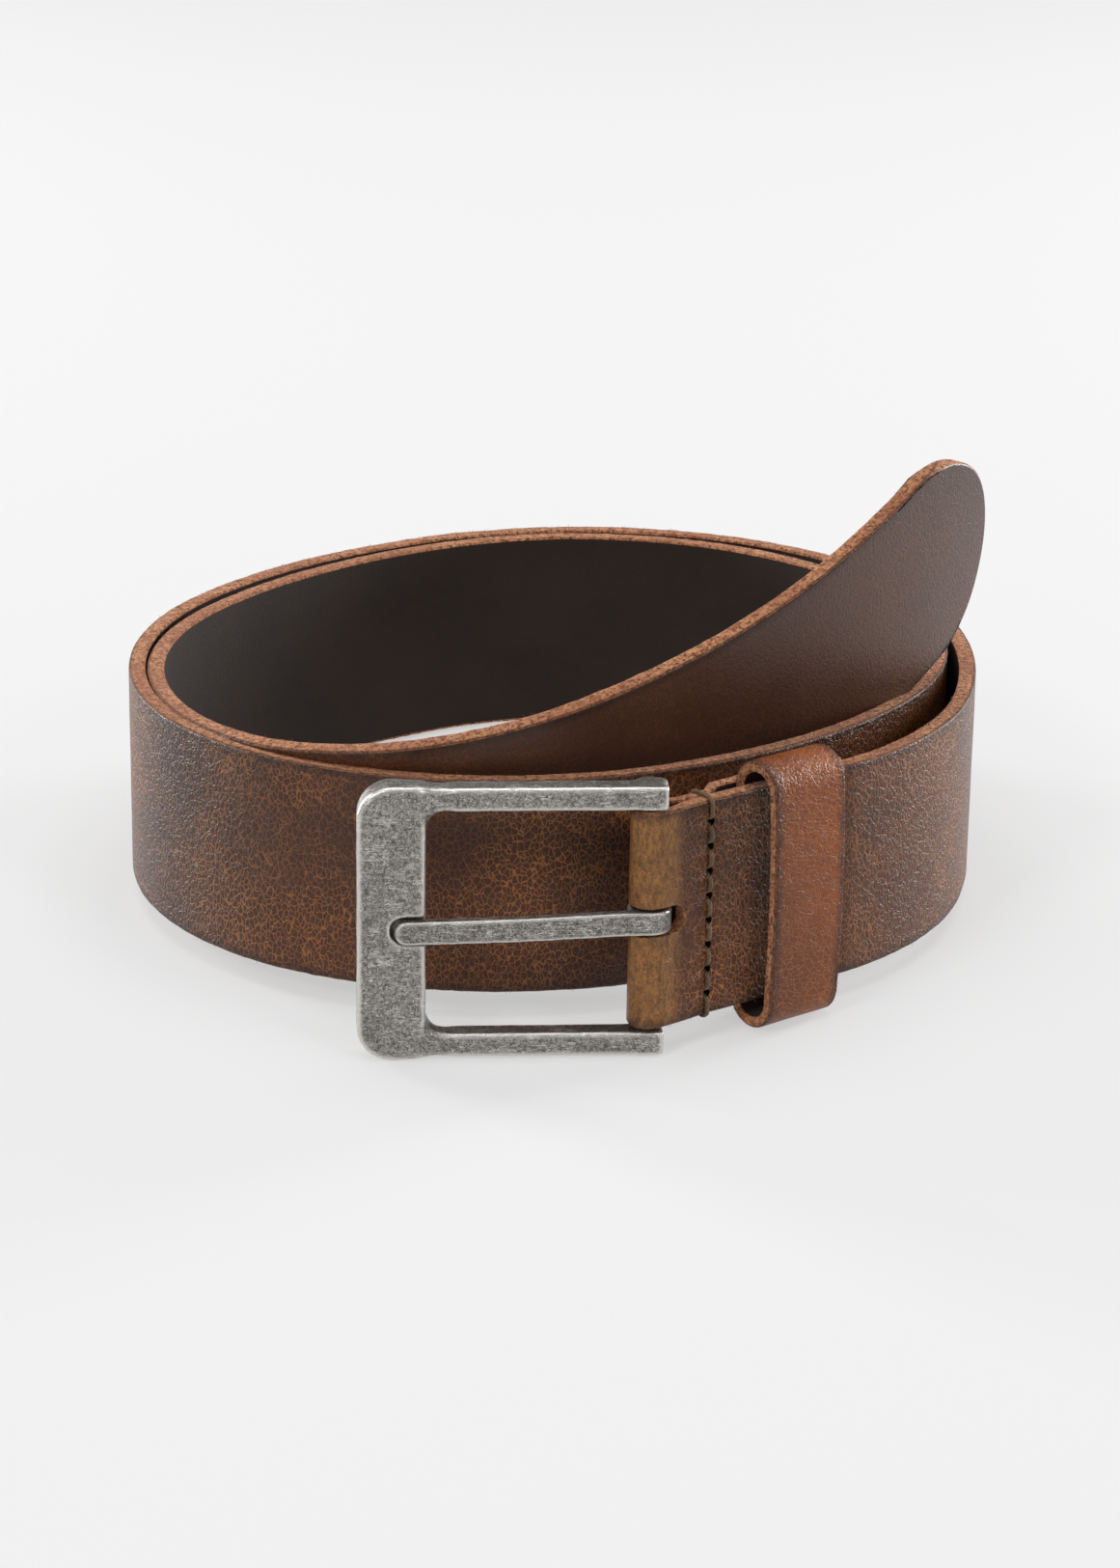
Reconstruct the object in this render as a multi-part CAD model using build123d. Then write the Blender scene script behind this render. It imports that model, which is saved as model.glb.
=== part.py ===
from build123d import *
import math
import os

# ---------------------------------------------------------------------------
# A coiled leather belt, standing on its lower edge. Millimetres, +Z up.
# The belt is first laid out in its own coil frame: the strap's lower edge is
# the plane z = 0 and every wall of the coil is upright. The buckle is taller
# than the strap, so it props the front of the coil up: at the end the whole
# belt is leaned back about its rear foot and moved so that the origin is the
# middle of its footprint, on the floor.
# ---------------------------------------------------------------------------

# leather strap
STRAP_WIDTH = 40.0
STRAP_THICK = 3.2
SKIVED_THICK = 1.9           # thinned leather around the bar and in the flap
FLAP_TOUCH_GAP = 0.15        # flap to strap, where the stitches hold them together
SKIVE_LENGTH = 8.0           # from the bar to where the strap has its full thickness

# coil: (length, turn in degrees) of each stretch, from the buckle to the tip
START_X, START_Y = 17.0, -92.5
START_HEADING = 38.5
COIL_STRETCHES = [
    (42.0, 0.0),
    (46.0, 38.0),
    (64.5, 33.0),
    (56.5, 50.0),
    (62.5, 49.0),
    (60.0, 32.0),
    (60.5, 45.0),
    (58.5, 53.0),
    (54.5, 43.0),
    (69.5, 40.0),
    (54.5, 47.0),
    (58.0, 46.0),
    (58.0, 55.0),
    (67.0, 34.0),
]

# rising tip: bend and twist in degrees per station, one station every 40 mm
TIP_STATION = 40.0
TIP_BEND = [35.0, 36.0, 45.0, 32.0, 16.0, 21.0, 7.0, 25.0]
TIP_TWIST = [0.0, 3.0, 14.0, 10.5, 0.5, -1.0, 7.0, 12.0]
TIP_LENGTH = 250.0
TIP_SECTION_STEP = 10.0
TIP_END_ROUND = 21.0         # length of the rounded end
TIP_EDGE_RELIEF = 0.4        # the rounding starts this far outside the strap's edge
INTEGRATION_STEP = 1.0

# adjustment holes
HOLE_COUNT = 5
HOLE_PITCH = 25.0
HOLE_RADIUS = 2.5
FIRST_HOLE_FROM_TIP = 115.0

# buckle: a U-shaped frame closed by a pressed steel bar
BAR_RADIUS = 1.6
BAR_LENGTH = 47.0
BAR_FIT = 0.1                # bar to the leather folded around it
BUCKLE_CENTRE_Z = 19.8
BUCKLE_HEADING = 183.6       # from the bar towards the free end, in plan
FRAME_LENGTH = 50.6          # bar axis to the outer face of the end bar
FRAME_HEIGHT = 50.4
END_BAR_WIDTH = 11.9
END_BAR_FRONT, END_BAR_BACK = 3.6, -2.2
ARM_FRONT, ARM_BACK = 3.1, -1.8
ARM_STEP = 0.4               # the arms' outer faces lie this far inside the end bar's
WINDOW_HEIGHT = 41.0
ARM_TAIL = 2.8               # arm past the bar axis
LOBE_RADIUS = 3.4            # boss around the bar at the end of each arm
FRAME_CORNER_RADIUS = 6.0
WINDOW_CORNER_RADIUS = 3.5
FRAME_EDGE_ROUND = 0.7
NOTCH_HEIGHT = 4.9
NOTCH_FLOOR = 2.2
NOTCH_END = 44.9
NOTCH_DROP = 1.0             # below the middle of the frame
PART_OVERLAP = 2.0           # how far joined shapes of one casting run into each other

# prong
PRONG_LENGTH = 44.2
PRONG_HEIGHT = 4.2
PRONG_LOOP_RADIUS = 3.9
PRONG_BORE_CLEARANCE = 0.05
PRONG_THICK = 2.2
PRONG_TIP_UNDERSIDE = 2.3
PRONG_ARCH = 0.6
PRONG_DROOP = 1.2            # the loose prong hangs this far down at its tip
PRONG_NOSE = 1.0             # length of the rounded nose, seen from the side

# slot in the fold, for the prong
SLOT_HEIGHT = 5.4
SLOT_END = 5.4

# keeper loop and its staple
KEEPER_THICK = 2.0
KEEPER_WIDTH = 16.0
KEEPER_START = 20.5
KEEPER_BOTTOM, KEEPER_TOP = -4.7, 45.0
KEEPER_BACK_GAP = 0.35
KEEPER_FRONT_GAP = 5.2       # strap's grain face to the band's outside, at its corners
KEEPER_FRONT_REACH = 7.8     # strap's middle to the outermost point of the band
KEEPER_CORNER = 5.4
BUTT_GAP = 0.1               # where the band's two ends meet, behind the strap
STAPLE_SPAN = 8.0
STAPLE_WIDTH = 1.2
STAPLE_FLAT = 0.5
STAPLE_POINT = 2.5

# stitching
STITCH_COUNT = 8
STITCH_MARGIN = 4.0
FRONT_ROW, REAR_ROW = 10.7, 40.6
THREAD_WIDTH = 0.7
STITCH_HOLE_RADIUS = 0.6

# flap behind the strap, held down at each row and standing off it at the keeper
FLAP_END = 3.0               # past the rear row
FLAP_HELD = 1.6              # length held down at the front row, before and after it
POCKET_LEAD = 4.0            # the flap is clear of the strap this far before the keeper
POCKET_TAIL = 0.6            # and this far after it
REAR_ROW_LEAD = 0.8

# stance
REAR_FOOT_Y = 80.0
LEAN = 1.75                  # degrees

OVERSHOOT = 20.0             # how far cutting tools run past what they cut


# ---------------------------------------------------------------------------
# plan layout
# ---------------------------------------------------------------------------
def heading_vector(angle):
    return Vector(math.cos(math.radians(angle)), math.sin(math.radians(angle)), 0)


def outward_vector(angle):
    """The side of the grain face: right of the heading."""
    return Vector(math.sin(math.radians(angle)), -math.cos(math.radians(angle)), 0)


def advance(point, heading, length, turn):
    """Where a stretch of constant bend ends."""
    if turn == 0:
        return point + heading_vector(heading) * length
    radius = length / math.radians(turn)
    centre = point - outward_vector(heading) * radius
    return centre + outward_vector(heading + turn) * radius


def coil_stations():
    """Start point and heading of every stretch, and of the coil's end."""
    point = Vector(START_X, START_Y, 0)
    heading = START_HEADING
    stations = [(point, heading)]
    for length, turn in COIL_STRETCHES:
        point = advance(point, heading, length, turn)
        heading += turn
        stations.append((point, heading))
    return stations


STATIONS = coil_stations()
START = STATIONS[0][0]
ALONG = heading_vector(START_HEADING)
OUTWARD = outward_vector(START_HEADING)

# Straight buckle end: x along the strap, y towards the wearer, z up.
STRAP_END = Plane(origin=START, x_dir=ALONG, z_dir=(0, 0, 1))
FOLD_RADIUS = BAR_RADIUS + BAR_FIT + SKIVED_THICK
BAR_DEPTH = FOLD_RADIUS - STRAP_THICK / 2
BAR_CENTRE = START - OUTWARD * BAR_DEPTH

# Buckle: x from the bar to the free end, y away from the wearer, z along the bar.
BUCKLE = Plane(
    origin=BAR_CENTRE + Vector(0, 0, BUCKLE_CENTRE_Z),
    x_dir=heading_vector(BUCKLE_HEADING),
    z_dir=(0, 0, 1),
)


# ---------------------------------------------------------------------------
# strap
# ---------------------------------------------------------------------------
def side_edges(side):
    """One face of the coiled strap in plan, as tangent lines and arcs."""
    edges = []
    for (start, heading), (length, turn) in zip(STATIONS, COIL_STRETCHES):
        points = []
        for part in (0.0, 0.5, 1.0):
            middle = advance(start, heading, length * part, turn * part)
            points.append(middle + outward_vector(heading + turn * part) * side)
        if turn == 0:
            edges.append(Edge.make_line(points[0] + ALONG * SKIVE_LENGTH, points[2]))
        else:
            edges.append(Edge.make_three_point_arc(*points))
    return edges


def coil_solid():
    half = STRAP_THICK / 2
    outer = side_edges(half)
    inner = side_edges(-half)
    caps = [
        Edge.make_line(outer[0] @ 0, inner[0] @ 0),
        Edge.make_line(outer[-1] @ 1, inner[-1] @ 1),
    ]
    return extrude(Face(Wire(outer + inner + caps)), STRAP_WIDTH)


def tip_frames():
    """Middle of the strap, its heading and its width direction along the tip."""
    point = STATIONS[-1][0] + Vector(0, 0, STRAP_WIDTH / 2)
    along = heading_vector(STATIONS[-1][1])
    across = Vector(0, 0, 1)
    frames = [(0.0, point, along, across)]
    travelled = 0.0
    step = INTEGRATION_STEP
    while travelled < TIP_LENGTH:
        station = min(travelled / TIP_STATION, len(TIP_BEND) - 1)
        low = min(int(station), len(TIP_BEND) - 2)
        share = station - low
        bend = TIP_BEND[low] * (1 - share) + TIP_BEND[low + 1] * share
        twist = TIP_TWIST[low] * (1 - share) + TIP_TWIST[low + 1] * share
        turning = along * twist + across * bend
        spin = Axis((0, 0, 0), turning)
        angle = turning.length * step / TIP_STATION
        new_along = along.rotate(spin, angle)
        across = across.rotate(spin, angle)
        point = point + (along + new_along) * (step / 2)
        along = new_along
        travelled += step
        frames.append((travelled, point, along, across))
    return frames


TIP_FRAMES = tip_frames()


def tip_plane(distance):
    """Section plane of the tip: x across the strap, z along it."""
    _, point, along, across = TIP_FRAMES[round(distance)]
    return Plane(origin=point, x_dir=across, z_dir=along)


def tip_face_plane(distance):
    """Plane of the strap's face at the tip: x along it, z out of the grain side."""
    _, point, along, across = TIP_FRAMES[round(distance)]
    return Plane(origin=point, x_dir=along, z_dir=along.cross(across))


def tip_solid():
    sections = []
    count = round(TIP_LENGTH / TIP_SECTION_STEP)
    for index in range(count + 1):
        section = tip_plane(index * TIP_SECTION_STEP) * Rectangle(STRAP_WIDTH, STRAP_THICK)
        sections.append(section)
    tip = loft(sections)
    return tip - tip_end_waste()


def tip_end_waste():
    """What is cut away to round the tip: everything outside a half ellipse."""
    start = TIP_LENGTH - TIP_END_ROUND
    plane = tip_face_plane(start + TIP_END_ROUND / 2)
    offset = -TIP_END_ROUND / 2
    half = STRAP_WIDTH / 2
    block = Pos(offset + TIP_END_ROUND, 0) * Rectangle(2 * TIP_END_ROUND, STRAP_WIDTH + OVERSHOOT)
    keep = Pos(offset, 0) * Ellipse(TIP_END_ROUND, half + TIP_EDGE_RELIEF)
    return extrude(plane * (block - keep), OVERSHOOT, both=True)


def fold_and_flap_solid():
    """The skived end: around the bar, back under the strap, past both stitch rows."""
    half = STRAP_THICK / 2
    centre = Vector(0, BAR_DEPTH)
    inner_radius = FOLD_RADIUS - SKIVED_THICK
    near = half + FLAP_TOUCH_GAP
    pocket = half + 2 * KEEPER_BACK_GAP + KEEPER_THICK
    back = centre.Y + FOLD_RADIUS

    ring = Pos(centre.X, centre.Y) * (Circle(FOLD_RADIUS) - Circle(inner_radius))
    ring &= Pos(-FOLD_RADIUS, centre.Y) * Rectangle(2 * FOLD_RADIUS, 4 * FOLD_RADIUS)
    front_leg = make_face(
        [
            Edge.make_line((0, -half), (SKIVE_LENGTH, -half)),
            Edge.make_line((SKIVE_LENGTH, -half), (SKIVE_LENGTH, half)),
            Edge.make_spline(
                [Vector(SKIVE_LENGTH, half), Vector(0, centre.Y - inner_radius)],
                tangents=[Vector(-1, 0), Vector(-1, 0)],
            ),
            Edge.make_line((0, centre.Y - inner_radius), (0, -half)),
        ]
    )
    route = [
        Vector(0, back - SKIVED_THICK),
        Vector(FRONT_ROW - FLAP_HELD, near),
        Vector(FRONT_ROW + FLAP_HELD, near),
        Vector(KEEPER_START - POCKET_LEAD, pocket),
        Vector(KEEPER_START + KEEPER_WIDTH + POCKET_TAIL, pocket),
        Vector(REAR_ROW - REAR_ROW_LEAD, near),
        Vector(REAR_ROW + FLAP_END, near),
    ]
    flap = make_face(ribbon_outline(route, SKIVED_THICK))
    plan = ring + front_leg + flap
    return extrude(STRAP_END * plan, STRAP_WIDTH)


def ribbon_outline(route, thickness):
    """A closed outline on one side of a route, with S-shaped eases between its levels."""
    edges = []
    for shift in (0, thickness):
        for start, end in zip(route, route[1:]):
            low = start + Vector(0, shift)
            high = end + Vector(0, shift)
            if start.Y == end.Y:
                edges.append(Edge.make_line(low, high))
            else:
                flat = Vector(1, 0)
                edges.append(Edge.make_spline([low, high], tangents=[flat, flat]))
    for end in (route[0], route[-1]):
        edges.append(Edge.make_line(end, end + Vector(0, thickness)))
    return edges


def prong_slot():
    """A slot with rounded ends, through the fold, as high as the prong needs."""
    reach = 2 * FOLD_RADIUS
    length = SLOT_END + reach
    side_plane = Plane(
        origin=START + ALONG * (SLOT_END - length / 2) + Vector(0, 0, BUCKLE_CENTRE_Z),
        x_dir=ALONG,
        z_dir=OUTWARD,
    )
    return extrude(side_plane * SlotOverall(length, SLOT_HEIGHT), 2 * reach, both=True)


def stitch_heights():
    gap = (STRAP_WIDTH - 2 * STITCH_MARGIN) / (STITCH_COUNT - 1)
    return [STITCH_MARGIN + gap * index for index in range(STITCH_COUNT)]


def across_row(row, height):
    """Plane on the strap's grain face at a stitch, z pointing outward."""
    origin = START + ALONG * row + OUTWARD * (STRAP_THICK / 2) + Vector(0, 0, height)
    return Plane(origin=origin, x_dir=ALONG, z_dir=OUTWARD)


def stitch_holes(row):
    hole = Cylinder(STITCH_HOLE_RADIUS, OVERSHOOT)
    return [across_row(row, height) * hole for height in stitch_heights()]


def adjustment_holes():
    punch = Cylinder(HOLE_RADIUS, 2 * STRAP_THICK)
    first = TIP_LENGTH - FIRST_HOLE_FROM_TIP
    places = [first - HOLE_PITCH * index for index in range(HOLE_COUNT)]
    return [tip_face_plane(place) * punch for place in places]


def make_strap():
    strap = coil_solid() + tip_solid() + fold_and_flap_solid()
    cuts = [prong_slot()] + stitch_holes(FRONT_ROW) + stitch_holes(REAR_ROW)
    for cut in cuts + adjustment_holes():
        strap -= cut
    return strap


# ---------------------------------------------------------------------------
# buckle
# ---------------------------------------------------------------------------
def box_between(x_range, y_range, z_range):
    size = [high - low for low, high in (x_range, y_range, z_range)]
    centre = [(low + high) / 2 for low, high in (x_range, y_range, z_range)]
    return Pos(*centre) * Box(*size)


def make_buckle_frame():
    half = FRAME_HEIGHT / 2
    arm_half = half - ARM_STEP
    window_half = WINDOW_HEIGHT / 2
    bar_inner = FRAME_LENGTH - END_BAR_WIDTH

    end_bar = box_between((bar_inner, FRAME_LENGTH), (END_BAR_BACK, END_BAR_FRONT), (-half, half))
    corners = end_bar.edges().filter_by(Axis.Y).group_by(Axis.X)[-1]
    end_bar = fillet(corners, FRAME_CORNER_RADIUS)
    end_bar = fillet(end_bar.faces().sort_by(Axis.Y)[-1].edges(), FRAME_EDGE_ROUND)
    end_bar = fillet(end_bar.faces().sort_by(Axis.Y)[0].edges(), FRAME_EDGE_ROUND)

    frame = end_bar
    for side in (-1, 1):
        heights = sorted((side * window_half, side * arm_half))
        arm = box_between((-ARM_TAIL, bar_inner + PART_OVERLAP), (ARM_BACK, ARM_FRONT), heights)
        thickness = arm_half - window_half
        boss = Pos(0, 0, side * (window_half + thickness / 2)) * Cylinder(LOBE_RADIUS, thickness)
        boss &= box_between((-ARM_TAIL, LOBE_RADIUS), (-LOBE_RADIUS, ARM_FRONT), heights)
        arm = fillet(arm.edges().filter_by(Axis.X), FRAME_EDGE_ROUND)
        frame += arm + boss
        frame += window_corner(bar_inner, side * window_half, side)

    notch_half = NOTCH_HEIGHT / 2
    frame -= box_between(
        (bar_inner - PART_OVERLAP, NOTCH_END - notch_half),
        (NOTCH_FLOOR, END_BAR_FRONT + PART_OVERLAP),
        (-NOTCH_DROP - notch_half, -NOTCH_DROP + notch_half),
    )
    notch_round = Cylinder(notch_half, 2 * PART_OVERLAP, rotation=(90, 0, 0))
    frame -= Pos(NOTCH_END - notch_half, NOTCH_FLOOR + PART_OVERLAP, -NOTCH_DROP) * notch_round
    frame -= Cylinder(BAR_RADIUS, BAR_LENGTH)
    return BUCKLE * frame


def window_corner(bar_inner, height, side):
    """Fills the sharp inside corner between the end bar and an arm with a round."""
    radius = WINDOW_CORNER_RADIUS
    depth = ARM_FRONT - ARM_BACK - 2 * FRAME_EDGE_ROUND
    middle = (ARM_FRONT + ARM_BACK) / 2
    block = Pos(bar_inner - radius / 2, middle, height - side * radius / 2) * Box(radius, depth, radius)
    cutter = Cylinder(radius, 2 * depth, rotation=(90, 0, 0))
    return block - Pos(bar_inner - radius, middle, height - side * radius) * cutter


def make_buckle_bar():
    return BUCKLE * Cylinder(BAR_RADIUS, BAR_LENGTH)


def make_prong():
    bore = BAR_RADIUS + PRONG_BORE_CLEARANCE
    root = (0, PRONG_LOOP_RADIUS)
    nose_x = PRONG_LENGTH - PRONG_NOSE
    tip_top = (nose_x, PRONG_TIP_UNDERSIDE + PRONG_THICK)
    middle_x = PRONG_LENGTH / 2
    mean = (root[1] + tip_top[1]) / 2 + PRONG_ARCH
    flat = Vector(1, 0)
    top = Edge.make_spline([Vector(*root), Vector(middle_x, mean), Vector(*tip_top)],
                           tangents=[flat, flat])
    bottom = Edge.make_spline(
        [
            Vector(0, PRONG_LOOP_RADIUS - PRONG_THICK),
            Vector(middle_x, mean - PRONG_THICK),
            Vector(nose_x, PRONG_TIP_UNDERSIDE),
        ],
        tangents=[flat, flat],
    )
    nose = Edge.make_three_point_arc(
        tip_top,
        (PRONG_LENGTH, PRONG_TIP_UNDERSIDE + PRONG_THICK / 2),
        (nose_x, PRONG_TIP_UNDERSIDE),
    )
    heel = Edge.make_line(top @ 0, bottom @ 0)
    blade = make_face([top, nose, bottom, heel])
    profile = blade + (Circle(PRONG_LOOP_RADIUS) - Circle(bore)) - Circle(bore)
    prong = extrude(profile, PRONG_HEIGHT, both=True)
    return BUCKLE * (prong & prong_front_view())


def prong_front_view():
    """The prong's outline seen from the front: straight at the loop, drooping to a round tip."""
    half = PRONG_HEIGHT / 2
    blade_start = PRONG_LOOP_RADIUS
    round_x = PRONG_LENGTH - half
    outline = Polyline(
        (-OVERSHOOT, half),
        (blade_start, half),
        (round_x, half - PRONG_DROOP),
        (round_x, -half - PRONG_DROOP),
        (blade_start, -half),
        (-OVERSHOOT, -half),
        close=True,
    )
    shape = make_face(outline) + Pos(round_x, -PRONG_DROOP) * Circle(half)
    return extrude(Plane.XZ * shape, OVERSHOOT, both=True)


# ---------------------------------------------------------------------------
# keeper
# ---------------------------------------------------------------------------
KEEPER_BACK = STRAP_THICK / 2 + KEEPER_BACK_GAP + KEEPER_THICK
KEEPER_MIDDLE = (KEEPER_BOTTOM + KEEPER_TOP) / 2

# Across the strap at the keeper: x towards the wearer, y up, z along the strap.
KEEPER_PLANE = Plane(origin=START + ALONG * KEEPER_START, x_dir=-OUTWARD, z_dir=ALONG)


def keeper_band():
    """A closed ring: flat behind the strap and bowed in front of it."""
    front = -STRAP_THICK / 2 - KEEPER_FRONT_GAP
    back = Edge.make_line((KEEPER_BACK, KEEPER_BOTTOM), (KEEPER_BACK, KEEPER_TOP))
    bow = Edge.make_three_point_arc(
        (front, KEEPER_BOTTOM), (-KEEPER_FRONT_REACH, KEEPER_MIDDLE), (front, KEEPER_TOP)
    )
    ends = [
        Edge.make_line((front, height), (KEEPER_BACK, height))
        for height in (KEEPER_BOTTOM, KEEPER_TOP)
    ]
    outline = make_face([back, bow] + ends)
    outline = fillet(outline.vertices(), KEEPER_CORNER)
    return extrude(outline - offset(outline, -KEEPER_THICK), KEEPER_WIDTH)


def staple_solid():
    """Crown on the flap side, two legs through the band, points turned in."""
    middle = KEEPER_WIDTH / 2
    depth = STAPLE_FLAT
    back = KEEPER_BACK
    front = KEEPER_BACK - KEEPER_THICK
    staple = box_between(
        (back - depth, back),
        (KEEPER_MIDDLE - STAPLE_SPAN / 2, KEEPER_MIDDLE + STAPLE_SPAN / 2),
        (middle - STAPLE_WIDTH / 2, middle + STAPLE_WIDTH / 2),
    )
    for side in (-1, 1):
        outer = KEEPER_MIDDLE + side * STAPLE_SPAN / 2
        leg = sorted((outer, outer - side * depth))
        point = sorted((outer, outer - side * STAPLE_POINT))
        across = (middle - STAPLE_WIDTH / 2, middle + STAPLE_WIDTH / 2)
        staple += box_between((front, back), leg, across)
        staple += box_between((front, front + depth), point, across)
    return staple


def make_keeper_loop():
    butt_joint = box_between(
        (KEEPER_BACK - 2 * KEEPER_THICK, KEEPER_BACK + KEEPER_THICK),
        (KEEPER_MIDDLE - BUTT_GAP / 2, KEEPER_MIDDLE + BUTT_GAP / 2),
        (-OVERSHOOT, KEEPER_WIDTH + OVERSHOOT),
    )
    return KEEPER_PLANE * (keeper_band() - butt_joint - staple_solid())


def make_keeper_staple():
    return KEEPER_PLANE * staple_solid()


# ---------------------------------------------------------------------------
# stitching
# ---------------------------------------------------------------------------
def stitch_thread(row, face, side):
    """One thread of a row: over both strap edges, along a face, and down every hole."""
    meeting = (FLAP_TOUCH_GAP + SKIVED_THICK) / 2
    surface = face + side * THREAD_WIDTH
    lane = (row - THREAD_WIDTH / 2, row + THREAD_WIDTH / 2)
    run = sorted((face, surface))
    reach = sorted((meeting, surface))
    thread = box_between(lane, run, (-THREAD_WIDTH, STRAP_WIDTH + THREAD_WIDTH))
    thread += box_between(lane, reach, (-THREAD_WIDTH, 0))
    thread += box_between(lane, reach, (STRAP_WIDTH, STRAP_WIDTH + THREAD_WIDTH))
    for height in stitch_heights():
        leg = (height - THREAD_WIDTH / 2, height + THREAD_WIDTH / 2)
        thread += box_between(lane, reach, leg)
    return STRAP_END * thread


GRAIN_FACE = -STRAP_THICK / 2
FLAP_FACE = STRAP_THICK / 2 + FLAP_TOUCH_GAP + SKIVED_THICK


# ---------------------------------------------------------------------------
# assembly
# ---------------------------------------------------------------------------
def coil_frame_parts():
    return {
        "strap": make_strap(),
        "keeper_loop": make_keeper_loop(),
        "keeper_staple": make_keeper_staple(),
        "buckle_frame": make_buckle_frame(),
        "buckle_bar": make_buckle_bar(),
        "prong": make_prong(),
        "front_needle_thread": stitch_thread(FRONT_ROW, GRAIN_FACE, -1),
        "front_bobbin_thread": stitch_thread(FRONT_ROW, FLAP_FACE, 1),
        "rear_needle_thread": stitch_thread(REAR_ROW, GRAIN_FACE, -1),
        "rear_bobbin_thread": stitch_thread(REAR_ROW, FLAP_FACE, 1),
    }


def leaned_back(shape):
    foot = Axis((0, REAR_FOOT_Y, 0), (1, 0, 0))
    return shape.rotate(foot, -LEAN)


def main():
    os.makedirs("parts", exist_ok=True)
    parts = {name: leaned_back(shape) for name, shape in coil_frame_parts().items()}
    bounds = Compound(list(parts.values())).bounding_box()
    footing = Pos(-bounds.center().X, -bounds.center().Y, -bounds.min.Z)
    for name, shape in parts.items():
        export_step(footing * shape, f"parts/{name}.step")


main()
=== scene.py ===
import math

import bpy
import numpy as np
from mathutils import Matrix, Vector, noise


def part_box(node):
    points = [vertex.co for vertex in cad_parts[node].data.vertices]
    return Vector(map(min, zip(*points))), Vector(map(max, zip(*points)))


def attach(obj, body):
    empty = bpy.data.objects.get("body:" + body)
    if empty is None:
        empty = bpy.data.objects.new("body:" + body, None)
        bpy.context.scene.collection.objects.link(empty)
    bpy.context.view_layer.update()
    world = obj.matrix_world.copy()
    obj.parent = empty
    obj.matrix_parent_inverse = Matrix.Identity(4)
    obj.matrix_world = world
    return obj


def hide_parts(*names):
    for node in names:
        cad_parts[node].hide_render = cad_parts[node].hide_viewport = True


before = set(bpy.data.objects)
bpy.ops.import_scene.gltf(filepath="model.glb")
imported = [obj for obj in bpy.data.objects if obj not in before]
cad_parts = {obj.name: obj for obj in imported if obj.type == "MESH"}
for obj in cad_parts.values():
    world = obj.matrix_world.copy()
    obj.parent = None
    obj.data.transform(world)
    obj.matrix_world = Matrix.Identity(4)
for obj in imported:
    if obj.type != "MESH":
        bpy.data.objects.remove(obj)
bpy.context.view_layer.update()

MM = 0.001

# ---------------------------------------------------------------------------
# The belt's own sizes in millimetres, as in the part
# ---------------------------------------------------------------------------
STRAP_WIDTH, STRAP_THICK, SKIVED_THICK = 40.0, 3.2, 1.9
SKIVE_LENGTH = 8.0
START = Vector((17.0, -92.5, 0.0))
START_HEADING = 38.5
COIL_STRETCHES = [
    (42.0, 0.0), (46.0, 38.0), (64.5, 33.0), (56.5, 50.0), (62.5, 49.0), (60.0, 32.0), (60.5, 45.0),
    (58.5, 53.0), (54.5, 43.0), (69.5, 40.0), (54.5, 47.0), (58.0, 46.0), (58.0, 55.0), (67.0, 34.0),
]
TIP_STATION = 40.0
TIP_BEND = [35.0, 36.0, 45.0, 32.0, 16.0, 21.0, 7.0, 25.0]
TIP_TWIST = [0.0, 3.0, 14.0, 10.5, 0.5, -1.0, 7.0, 12.0]
TIP_LENGTH = 250.0
TIP_ROUND = 21.0
HOLE_COUNT, HOLE_PITCH, HOLE_RADIUS, FIRST_HOLE_FROM_TIP = 5, 25.0, 2.5, 115.0
BAR_RADIUS, BAR_FIT = 1.6, 0.1
BAR_Z = 19.8
SLOT_HEIGHT, SLOT_END = 5.4, 5.4
KEEPER_THICK, KEEPER_WIDTH, KEEPER_START = 2.0, 16.0, 20.5
KEEPER_BOTTOM, KEEPER_TOP, KEEPER_CORNER = -4.7, 45.0, 5.4
KEEPER_BACK_GAP, KEEPER_FRONT_GAP, KEEPER_FRONT_REACH = 0.35, 5.2, 7.8
FLAP_TOUCH_GAP, FLAP_END, FLAP_HELD = 0.15, 3.0, 1.6
POCKET_LEAD, POCKET_TAIL, REAR_ROW_LEAD = 4.0, 0.6, 0.8
FRONT_ROW, REAR_ROW = 10.7, 40.6
STITCH_COUNT, STITCH_MARGIN, STITCH_HOLE_RADIUS = 8, 4.0, 0.8
THREAD_RADIUS = 0.45
REAR_FOOT_Y, LEAN = 80.0, 1.75
BUCKLE_HEADING, ARM_LENGTH = 183.6, 38.7
HALF_WIDTH, HALF_THICK = STRAP_WIDTH / 2, STRAP_THICK / 2
KEEPER_HALF_WIDTH = KEEPER_WIDTH / 2
FOLD_RADIUS = BAR_RADIUS + BAR_FIT + SKIVED_THICK
BAR_DEPTH = FOLD_RADIUS - HALF_THICK

# ---------------------------------------------------------------------------
# Finish of the visible pieces in millimetres
# ---------------------------------------------------------------------------
FINE_STEP, COIL_STEP, STRAP_ROW_STEP = 0.8, 1.5, 1.5
TURN_STEPS, TIP_ROWS, COLUMN_COUNT = 16, 22, 45
TIP_LEAD = 14.0                                # the rows start to bulge this far before the rounded end
STRAP_EDGE_ROUND, KEEPER_EDGE_ROUND = 0.55, 0.45
GROOVE_DEPTH, GROOVE_REACH = 0.42, 1.3         # where each stitch row pulls the grain side in
CUTTER_HEIGHT = 4.0
FIBRE_RADIUS, FIBRE_ROOT = 0.035, 0.1
FIBRE_SHORT, FIBRE_LONG, FIBRE_DRIFT = 0.25, 0.75, 0.45
FIBRE_SPREAD = 0.42                            # share of the thickness, either side of its middle
STRAP_FIBRES, KEEPER_FIBRES = 5200, 700
THREAD_PLIES, PLY_CORNERS, THREAD_LAY = 3, 7, 1.5
HOLE_DIP = 1.7                                 # how far a thread goes down into a needle hole
FRAME_VOXEL, PRONG_VOXEL = 0.25, 0.18
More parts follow.
